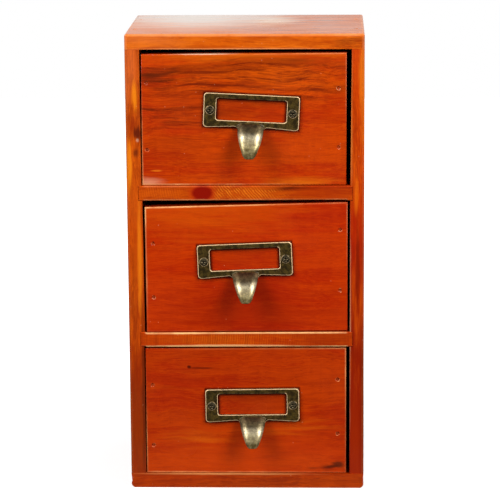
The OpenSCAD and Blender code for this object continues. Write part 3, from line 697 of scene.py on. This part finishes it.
# Broad changes of tone, dark and light streaks, a nail hole, scuffs, and painted light and shade
# as marked
front_stains = {
    "top": [
        stain((15, front_face, 270), (80, 20, 22), (0.72, 0.11, 0.001), 0.55, soft=1),
        stain((0, front_face, 281), (75, 20, 6), (0.80, 0.17, 0.004), 0.5, soft=1),
        stain((-30, front_face, 248), (42, 20, 17), russet, 0.25),
        stain((10, front_face, 266), (85, 20, 19), banded, 1, ragged=0.2, soft=0.5,
              streaked=True),
        stain((-42, front_face, 245), (62, 20, 30), banded, 0.8, streaked=True, soft=1),
        stain((-55, front_face, 268), (24, 20, 12), umber, 0.75, ragged=0.3, soft=0.9,
              streaked=True),
        stain((-59, front_face, 268), (17, 20, 8), umber, 0.65, soft=1),
        stain((-55, front_face, 243), (26, 20, 10), umber, 0.7, streaked=True, soft=1),
        stain((35, front_face, 200.5), (40, 10, 5), (0.85, 0.20, 0.006), 0.5, soft=1),
        stain((-45, front_face, 222), (40, 20, 16), russet, 0.25, soft=1),
        # painted shade in the label window, under the plate
        stain((4, front_face, 246.5), (26, 5, 10), russet, 0.25, soft=0.3),
        stain((-56, front_face, 208), (5, 10, 0.8), amber, 0.8, ragged=0.2),
        # a painted reflection at the foot's left corner
        stain((-62, front_face, 200.5), (16, 10, 5), (0.80, 0.36, 0.20), 0.6, ragged=0.4,
              soft=1),
        # a painted highlight along the left part of the head's edge
        stain((-25, front_face, 282.3), (28, 10, 1.1), highlight_tint, 0.8, ragged=0.3)],
    "middle": [
        # a painted sheen over the upper left
        stain((-25, front_face, 184), (80, 20, 30), (0.70, 0.10, 0.001), 0.5, soft=1),
        # painted shade in the label window, under the plate
        stain((-1, front_face, 151.5), (26, 5, 10), russet, 0.2, soft=0.3),
        stain((0, front_face, 118), (90, 20, 32), cherry, 0.6, soft=1)],
    "bottom": [
        # lighter low down: painted light, as if bounced up from the table
        stain((0, front_face, 18), (110, 20, 34), (0.70, 0.062, 0.0003), 0.6, soft=1),
        stain((-10, front_face, 80), (70, 20, 18), cherry, 0.15, soft=1),
        # painted shade in the label window, under the plate
        stain((4, front_face, 56), (26, 5, 10), russet, 0.25, soft=0.3),
        stain((30, front_face, 41), (45, 6, 9), (0.78, 0.14, 0.002), 0.5, soft=1, streaked=True),
        stain((-30, front_face, 34), (32, 6, 10), (0.78, 0.14, 0.002), 0.5, soft=1,
              streaked=True),
        stain((-36.9, front_face, 80.3), (1.6, 5, 1.5), (0.10, 0.006, 0.0006), 0.95, ragged=0.3),
        stain((-29, front_face, 79.6), (10, 5, 0.8), (0.14, 0.008, 0.0006), 0.7),
        stain((59, front_face, 15.8), (6, 6, 4.5), umber, 0.85, ragged=0.9, soft=1),
        stain((53, front_face, 13.4), (9, 6, 2.4), (0.04, 0.005, 0.001), 0.85, ragged=0.9,
              soft=1),
        stain((42, front_face, 12.8), (9, 6, 2), umber, 0.6, ragged=0.9, soft=1)]}
front_pines = {
    "top": pine("top front pine", ALONG_X, (0, 40, -235), (0.66, 0.070, 0.0004),
                (0.52, 0.026, 0.0003), (0.22, 0.012, 0.0005), rings=0.12, streaks=0.15,
                label=pull_places["top"], wear=1, worn=(0.95, 0.40, 0.14),
                stains=front_stains["top"]),
    "middle": pine("middle front pine", ALONG_X, (60, 40, -90), (0.62, 0.046, 0.0003),
                   (0.50, 0.021, 0.0002), (0.30, 0.009, 0.0004), rings=0.1, streaks=0.15,
                   blotches=0.8, label=pull_places["middle"], wear=1, worn=(0.98, 0.50, 0.18),
                   stains=front_stains["middle"]),
    "bottom": pine("bottom front pine", ALONG_X, (120, 40, -20), (0.58, 0.050, 0.0003),
                   (0.47, 0.021, 0.0002), (0.24, 0.010, 0.0004), rings=0.12, streaks=0.2,
                   blotches=0.8, label=pull_places["bottom"], wear=1, worn=(0.95, 0.40, 0.13),
                   stains=front_stains["bottom"])}

for name in drawers:
    corners, brads = front_shapes[name]
    bm = slab(corners, front_face, front_back)
    ease(bm, edges_at(bm, y=front_back), 0.4, 1, worn=False)
    ease(bm, edges_at(bm, y=front_face), 0.5, 3, rim=0.7)
    bmesh.ops.recalc_face_normals(bm, faces=bm.faces)
    bm.normal_update()
    edge = bm.verts.layers.float.get("edge")
    halfway = corners[0][1] + 40
    for v in bm.verts:
        if v[edge]:
            if abs(v.normal.z) > abs(v.normal.x):
                where, far = "foot" if v.normal.z < 0 else "head", v.co.x > 0
            else:
                where, far = "right" if v.normal.x > 0 else "left", v.co.z > halfway
            v[edge] = front_rubs[name][where][far]
    dimple(bm, [(x, front_face, z) for x, z in brads], (0, -1, 0))
    finish(bm, name + "_front_sanded", front_pines[name], name + "_drawer",
           [name + "_drawer_front"])

# ---------- Label pulls ----------
# One brass casting each: a plate with a label window, and a finger tongue that curls out
# from the bar under the window. The brass is browned, and rubbed bright again on its rims
# and where fingers go. Each is held by two screws.

plate_x, plate_head, plate_r, plate_t = 30.1, 10.8, 2, 2.0
bar_z = -10.8                       # the foot of the bar under the window
window_x, window_head, window_foot, window_r = 22.2, 7.85, -6.15, 1.6
screw_x, screw_r = 26.0, 2.65
root_w, tip_w, tongue_t, tongue_crown = 17.0, 6.7, 1.8, 2.5
tip_from = 0.93                     # where along the tongue its tip starts to round off
voxel = 0.22
fully_worn = 0.12                   # how far a rim stands out where it is rubbed quite bright
tongue_shapes = {       # reach, drop and taper
    "top": (12.5, 17.4, 2.8), "middle": (13.5, 14.4, 2.1), "bottom": (13.0, 14.4, 2.2)}


def wire(bm, corners):
    """A closed wire in X and Z from corners of (x, z, rounding)."""
    points = [bm.verts.new((x, 0, z)) for x, z, _ in corners]
    for k, point in enumerate(points):
        bm.edges.new((points[k - 1], point))
    for radius in {r for *_, r in corners if r}:
        bmesh.ops.bevel(bm, geom=[v for v, (*_, r) in zip(points, corners) if r == radius],
                        offset=radius, offset_type="OFFSET", affect="VERTICES", segments=6,
                        profile=0.5, material=-1, clamp_overlap=True)


def cast_plate():
    """The plate, its back on the plane y=0, with its window and countersunk holes."""
    bm = bmesh.new()
    foot = [(8, -12.3, 0), (8, -9.6, 2.6), (26.1, bar_z, 0), (plate_x, bar_z, plate_r)]
    wire(bm, [(-x, z, r) for x, z, r in reversed(foot)] + foot
         + [(plate_x, plate_head, plate_r), (-plate_x, plate_head, plate_r)])
    wire(bm, [(-window_x, window_foot, window_r), (window_x, window_foot, window_r),
              (window_x, window_head, window_r), (-window_x, window_head, window_r)])
    upright = Matrix.Rotation(math.radians(90), 4, "X")
    for side in (-1, 1):
        bmesh.ops.create_circle(bm, segments=24, radius=screw_r,
                                matrix=Matrix.Translation((side * screw_x, 0, 0)) @ upright)
    bmesh.ops.triangle_fill(bm, use_beauty=True, edges=bm.edges[:], normal=(0, -1, 0))
    draw_out(bm, bm.faces[:], (0, -plate_t, 0))
    for side in (-1, 1):
        axis = Vector((side * screw_x, 0, 0))
        hole = [v for v in bm.verts if at(v.co.y, 0) and at((v.co - axis).length, screw_r)]
        bmesh.ops.scale(bm, vec=(0.5, 1, 0.5), verts=hole, space=Matrix.Translation(-axis))
    bmesh.ops.recalc_face_normals(bm, faces=bm.faces)
    return bm


def curled_tongue(bm, reach, drop, taper):
    """Adds the tongue: a sheet that follows a curve out and down, crowned across. Its edges
    lie straight below it where it leaves the plate, and square behind it further on."""
    a, d = Vector((0, -1, window_foot - 0.3)), Vector((0, -plate_t - reach, bar_z - drop))
    b, c = a + Vector((0, -0.45 * reach, -0.2 * drop)), Vector((0, d.y, a.z - 0.59 * drop))
    sheet = bmesh.ops.create_grid(bm, x_segments=28, y_segments=44, size=1)["verts"]
    for v in sheet:
        u, s = v.co.x, (1 - v.co.y) / 2
        centre = ((1 - s) ** 3 * a + 3 * (1 - s) ** 2 * s * b + 3 * (1 - s) * s * s * c
                  + s ** 3 * d)
        way = (1 - s) ** 2 * (b - a) + 2 * (1 - s) * s * (c - b) + s * s * (d - c)
        settled = math.sin(math.pi * min(0.5, s))
        inward = Vector((0, -way.z * settled, way.y)).normalized()
        end = max(0, (s - tip_from) / (1 - tip_from))
        half = (root_w / 2 - (root_w - tip_w) / 2 * s ** taper) * math.sqrt(1 - 0.4 * end * end)
        crown = tongue_crown * (0.55 + 0.45 * settled) * (2 * half / root_w) ** 0.6
        v.co = centre + Vector((half * u, 0, 0)) + inward * crown * u ** 4
    faces = list(dict.fromkeys(f for v in sheet for f in v.link_faces))
    bmesh.ops.recalc_face_normals(bm, faces=faces)
    if sum((f.normal for f in faces), Vector()).y > 0:
        bmesh.ops.reverse_faces(bm, faces=faces)
    bm.normal_update()
    bmesh.ops.solidify(bm, geom=faces, thickness=tongue_t)


def soften(bm, times):
    for _ in range(times):
        bmesh.ops.smooth_vert(bm, verts=bm.verts, factor=0.5, use_axis_x=True,
                              use_axis_y=True, use_axis_z=True)


def cast_as_one(bm, name):
    """Fuses overlapping shells into one skin, softens it, and marks its worn rims as the
    edge: the parts that stand out from the skin's smoothed self."""
    bmesh.ops.scale(bm, vec=(mm, mm, mm), verts=bm.verts)
    mould = bring_in(name + " mould", bpy.data.meshes.new(name + " mould"))
    bm.to_mesh(mould.data)
    bm.clear()
    fused = mould.modifiers.new("cast", "REMESH")
    fused.mode, fused.voxel_size = "VOXEL", voxel * mm
    cast = mould.evaluated_get(bpy.context.evaluated_depsgraph_get())
    bm.from_mesh(cast.to_mesh())
    cast.to_mesh_clear()
    used = mould.data
    bpy.data.objects.remove(mould)
    bpy.data.meshes.remove(used)
    bmesh.ops.scale(bm, vec=(1 / mm, 1 / mm, 1 / mm), verts=bm.verts)
    soften(bm, 8)
    bm.normal_update()
    soft = bm.copy()
    soften(soft, 16)
    edge, handled = [bm.verts.layers.float.new(layer) for layer in ("edge", "handled")]
    for v, smoothed in zip(bm.verts, soft.verts):
        on_tongue = v.co.y < -plate_t - 1
        # the rim under the window's head keeps less of its pale wear: painted shade on that rim,
        # which faces down
        shaded_head_rim = abs(v.co.x) < window_x - 1.2 and 6 < v.co.z < 8.8
        by_screw = Vector((abs(v.co.x) - screw_x, 0, v.co.z)).length < screw_r + 0.8
        stands_out = min(1, max(0, (v.co - smoothed.co).dot(v.normal) / fully_worn))
        v[edge] = stands_out * (
            0.15 if on_tongue else 0.45 if shaded_head_rim else 0.95 if by_screw else 1)
        # 0.5 at the tongue's root, 1.2 at its tip
        v[handled] = on_tongue * (0.5 + 0.5 * min(1.4, max(0, (-12 - v.co.z) / 9)))
    soft.free()


brass, tree, shader, place = bare("browned brass")
edge = put(tree, "Attribute", attribute_name="edge").outputs["Fac"]
mottle = ramp_up(tree, cloud(tree, place, 330, 5, 0.75)[0], 0.38, 0.62)
grit = ramp_up(tree, cloud(tree, place, 1300, 2, 0.6)[0], 0.4, 0.7)
ruddy = ramp_up(tree, cloud(tree, place, 140, 2, 0.5)[0], 0.45, 0.65)
browned = mix(tree, mottle, (0.028, 0.018, 0.003, 1), (0.14, 0.088, 0.016, 1))
browned = mix(tree, reckon(tree, "MULTIPLY", ruddy, 0.25), browned, (0.10, 0.045, 0.012, 1))
browned = mix(tree, reckon(tree, "MULTIPLY", grit, 0.4), browned, (0.014, 0.010, 0.004, 1))
handled = put(tree, "Attribute", attribute_name="handled").outputs["Fac"]
tongue, tip = ramp_up(tree, handled, 0, 0.4), ramp_up(tree, handled, 0.55, 1)
worn = ramp_up(tree, reckon(tree, "MULTIPLY_ADD", mottle, 0.12, edge), 0.34, 0.68)
thumbed = reckon(tree, "MULTIPLY", ramp_up(tree, handled, 0.42, 0.7),
                 reckon(tree, "MULTIPLY_ADD", mottle, 0.4, 0.6))
colour = mix(tree, thumbed, browned, (0.70, 0.60, 0.40, 1))
olive = reckon(tree, "MULTIPLY", tip, reckon(tree, "MULTIPLY_ADD", grit, -0.4, 0.85))
colour = mix(tree, olive, colour, mix(tree, mottle, (0.28, 0.19, 0.06, 1),
                                      (0.62, 0.50, 0.20, 1)))
# the tongue's tip made darker and mottled
darker_tip = reckon(tree, "MULTIPLY", ramp_up(tree, handled, 0.94, 1.1),
                reckon(tree, "MULTIPLY_ADD", mottle, -0.45, 0.85))
colour = mix(tree, darker_tip, colour, (0.11, 0.075, 0.014, 1))
colour = mix(tree, reckon(tree, "MULTIPLY", grit, 0.35), colour, (0.04, 0.028, 0.010, 1))
colour = mix(tree, worn, colour, (0.95, 0.66, 0.36, 1))
tree.links.new(colour, shader.inputs["Base Color"])
metal = reckon(tree, "MULTIPLY_ADD", tip, -0.5,
               reckon(tree, "MULTIPLY_ADD", tongue, 0.65, 0.35))
tree.links.new(reckon(tree, "MULTIPLY_ADD", worn, -0.2, metal, clamp=True),
               shader.inputs["Metallic"])
roughen(tree, reckon(tree, "MAXIMUM", tongue, worn), 0.34, 0.39)
cast_skin = put(tree, "Bump", {"Height": cloud(tree, place, 700, 3, 0.6)[0],
                               "Strength": 0.2, "Distance": 0.08 * mm})
tree.links.new(cast_skin.outputs[0], shader.inputs["Normal"])

for name, (x, z, tilt) in pull_places.items():
    bm = cast_plate()
    curled_tongue(bm, *tongue_shapes[name])
    cast_as_one(bm, name + " pull")
    bmesh.ops.transform(bm, verts=bm.verts, matrix=Matrix.Translation((x, front_face, z))
                        @ Matrix.Rotation(math.radians(-tilt), 4, "Y"))
    finish(bm, name + "_pull_cast", brass, name + "_drawer", [name + "_pull"])

# ---------- Pull screws ----------
# Oval-head wood screws with a cross recess, browned like the pulls they hold; the recess is
# painted near black as its shade. They keep the CAD's turned and threaded form, merged and softly
# shaded.

recess_r, recess_from = 1.7, 0.5    # its reach, and how far below the crown it starts
screw_brass, tree, shader, place = bare("browned screw brass")
edge = put(tree, "Attribute", attribute_name="edge").outputs["Fac"]
mottle = ramp_up(tree, cloud(tree, place, 800, 3, 0.6)[0], 0.35, 0.65)
colour = mix(tree, mottle, (0.035, 0.028, 0.014, 1), (0.13, 0.10, 0.05, 1))
colour = mix(tree, reckon(tree, "MULTIPLY", edge, 0.8), colour, (0.6, 0.45, 0.25, 1))
# the cross recess is painted near black: painted shade
sunk = put(tree, "Attribute", attribute_name="sunk").outputs["Fac"]
colour = mix(tree, sunk, colour, (0.004, 0.003, 0.002, 1))
tree.links.new(colour, shader.inputs["Base Color"])
shader.inputs["Metallic"].default_value = 0.7
roughen(tree, mottle, 0.3, 0.45)

for name in drawers:
    bm = bmesh.new()
    bm.from_mesh(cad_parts[name + "_pull_screws"].data)
    bmesh.ops.remove_doubles(bm, verts=bm.verts, dist=1e-6)
    bmesh.ops.scale(bm, vec=(1 / mm, 1 / mm, 1 / mm), verts=bm.verts)
    edge, sunk = [bm.verts.layers.float.new(layer) for layer in ("edge", "sunk")]
    x, z, tilt = pull_places[name]
    turn = math.radians(tilt)
    heads = [Vector((x + side * screw_x * math.cos(turn), 0, z + side * screw_x * math.sin(turn)))
             for side in (-1, 1)]
    crown = min(v.co.y for v in bm.verts)
    for v in bm.verts:
        v[edge] = any(e.calc_face_angle(0) > 0.9 for e in v.link_edges)
        flat = Vector((v.co.x, 0, v.co.z))
        from_axis = min((flat - head).length for head in heads)
        v[sunk] = v.co.y > crown + recess_from and from_axis < recess_r
    finish(bm, name + "_pull_screws_driven", screw_brass, name + "_drawer",
           [name + "_pull_screws"])

# ---------- Studio ----------
# A white table top, a tall soft lamp on either side in front, and a plain white room. What
# shines also mirrors a white wall behind and a white card high up on either side.

camera = bring_in("camera", bpy.data.cameras.new("camera"))
camera.data.lens = 176.4
camera.data.sensor_width = 36
camera.location = (0.0543, -1.5708, 0.4788)
camera.rotation_euler = [math.radians(a) for a in (78.0427, 0.3796, 1.8656)]
bpy.context.scene.camera = camera

world = bpy.data.worlds.new("studio")
bpy.context.scene.world = world
bpy.context.scene.view_settings.view_transform = "Standard"
world.use_nodes = True
tree = world.node_tree
path = put(tree, "LightPath").outputs
way = put(tree, "SeparateXYZ", {0: put(tree, "TexCoord").outputs["Generated"]}).outputs
wall = reckon(tree, "MULTIPLY", ramp_up(tree, way[1], 0.7, 0.9), ramp_up(tree, way[2], 0.7, 0.4))
aside = ramp_up(tree, reckon(tree, "ABSOLUTE", way[0]), 0.25, 0.5)
aloft = reckon(tree, "MULTIPLY", ramp_up(tree, way[2], 0.25, 0.45),
               ramp_up(tree, way[1], -0.3, 0.1))
card = reckon(tree, "MULTIPLY", aside, aloft)
shine = reckon(tree, "MULTIPLY_ADD", card, 1.6, reckon(tree, "MULTIPLY_ADD", wall, 0.7, 0.03))
seen = put(tree, "Background", {"Color": (1, 1, 1, 1), "Strength": 1.0}).outputs[0]
room = put(tree, "Background", {"Color": (1, 1, 1, 1), "Strength": 0.17}).outputs[0]
mirrored = put(tree, "Background", {"Color": (1, 1, 1, 1), "Strength": shine}).outputs[0]
lit = put(tree, "MixShader", {0: path["Is Glossy Ray"], 1: room, 2: mirrored}).outputs[0]
lit = put(tree, "MixShader", {0: path["Is Camera Ray"], 1: lit, 2: seen}).outputs[0]
tree.links.new(lit, tree.nodes["World Output"].inputs["Surface"])

table_w, table_d, table_y = 1.2, 0.9, 0.76
bm = bmesh.new()
bmesh.ops.create_grid(bm, x_segments=1, y_segments=1, size=1)
bmesh.ops.scale(bm, vec=(table_w, table_d, 1), verts=bm.verts)
bmesh.ops.translate(bm, vec=(0, table_y, 0), verts=bm.verts)
floor_mesh = bpy.data.meshes.new("floor")
bm.to_mesh(floor_mesh)
bm.free()
floor = bring_in("floor", floor_mesh)
paper = bpy.data.materials.new("white paper")
paper.use_nodes = True
tree = paper.node_tree
tree.nodes.remove(tree.nodes["Principled BSDF"])
straight = put(tree, "LightPath").outputs["Is Camera Ray"]
tone = mix(tree, straight, (0.15, 0.15, 0.15, 1), (0.7, 0.7, 0.7, 1))
matt = put(tree, "BsdfDiffuse", {"Color": tone}).outputs[0]
away = vector(tree, "LENGTH", put(tree, "TexCoord").outputs["Object"])
glow = reckon(tree, "MULTIPLY_ADD", ramp_up(tree, away, 0.09, 0.3), 0.55, 0.58)
glow = put(tree, "Emission", {"Color": (1, 1, 1, 1),
                              "Strength": reckon(tree, "MULTIPLY", straight, glow)})
tree.links.new(put(tree, "AddShader", {0: matt, 1: glow.outputs[0]}).outputs[0],
               tree.nodes["Material Output"].inputs["Surface"])
floor_mesh.materials.append(paper)


def softbox(name, place, aim, size, power):
    """A lamp with a rectangular diffuser, turned towards a point."""
    lamp = bpy.data.lights.new(name, "AREA")
    lamp.shape = "RECTANGLE"
    lamp.size, lamp.size_y = size
    lamp.energy = power
    stand = bring_in(name, lamp)
    stand.location = place
    stand.rotation_euler = (Vector(aim) - Vector(place)).to_track_quat("-Z", "Y").to_euler()


softbox("right softbox", (0.80, -0.74, 0.95), (0, -0.05, 0.2), (0.5, 1.2), 16.8)
softbox("left softbox", (-0.80, -0.70, 0.93), (0, -0.05, 0.2), (0.5, 1.2), 14.7)
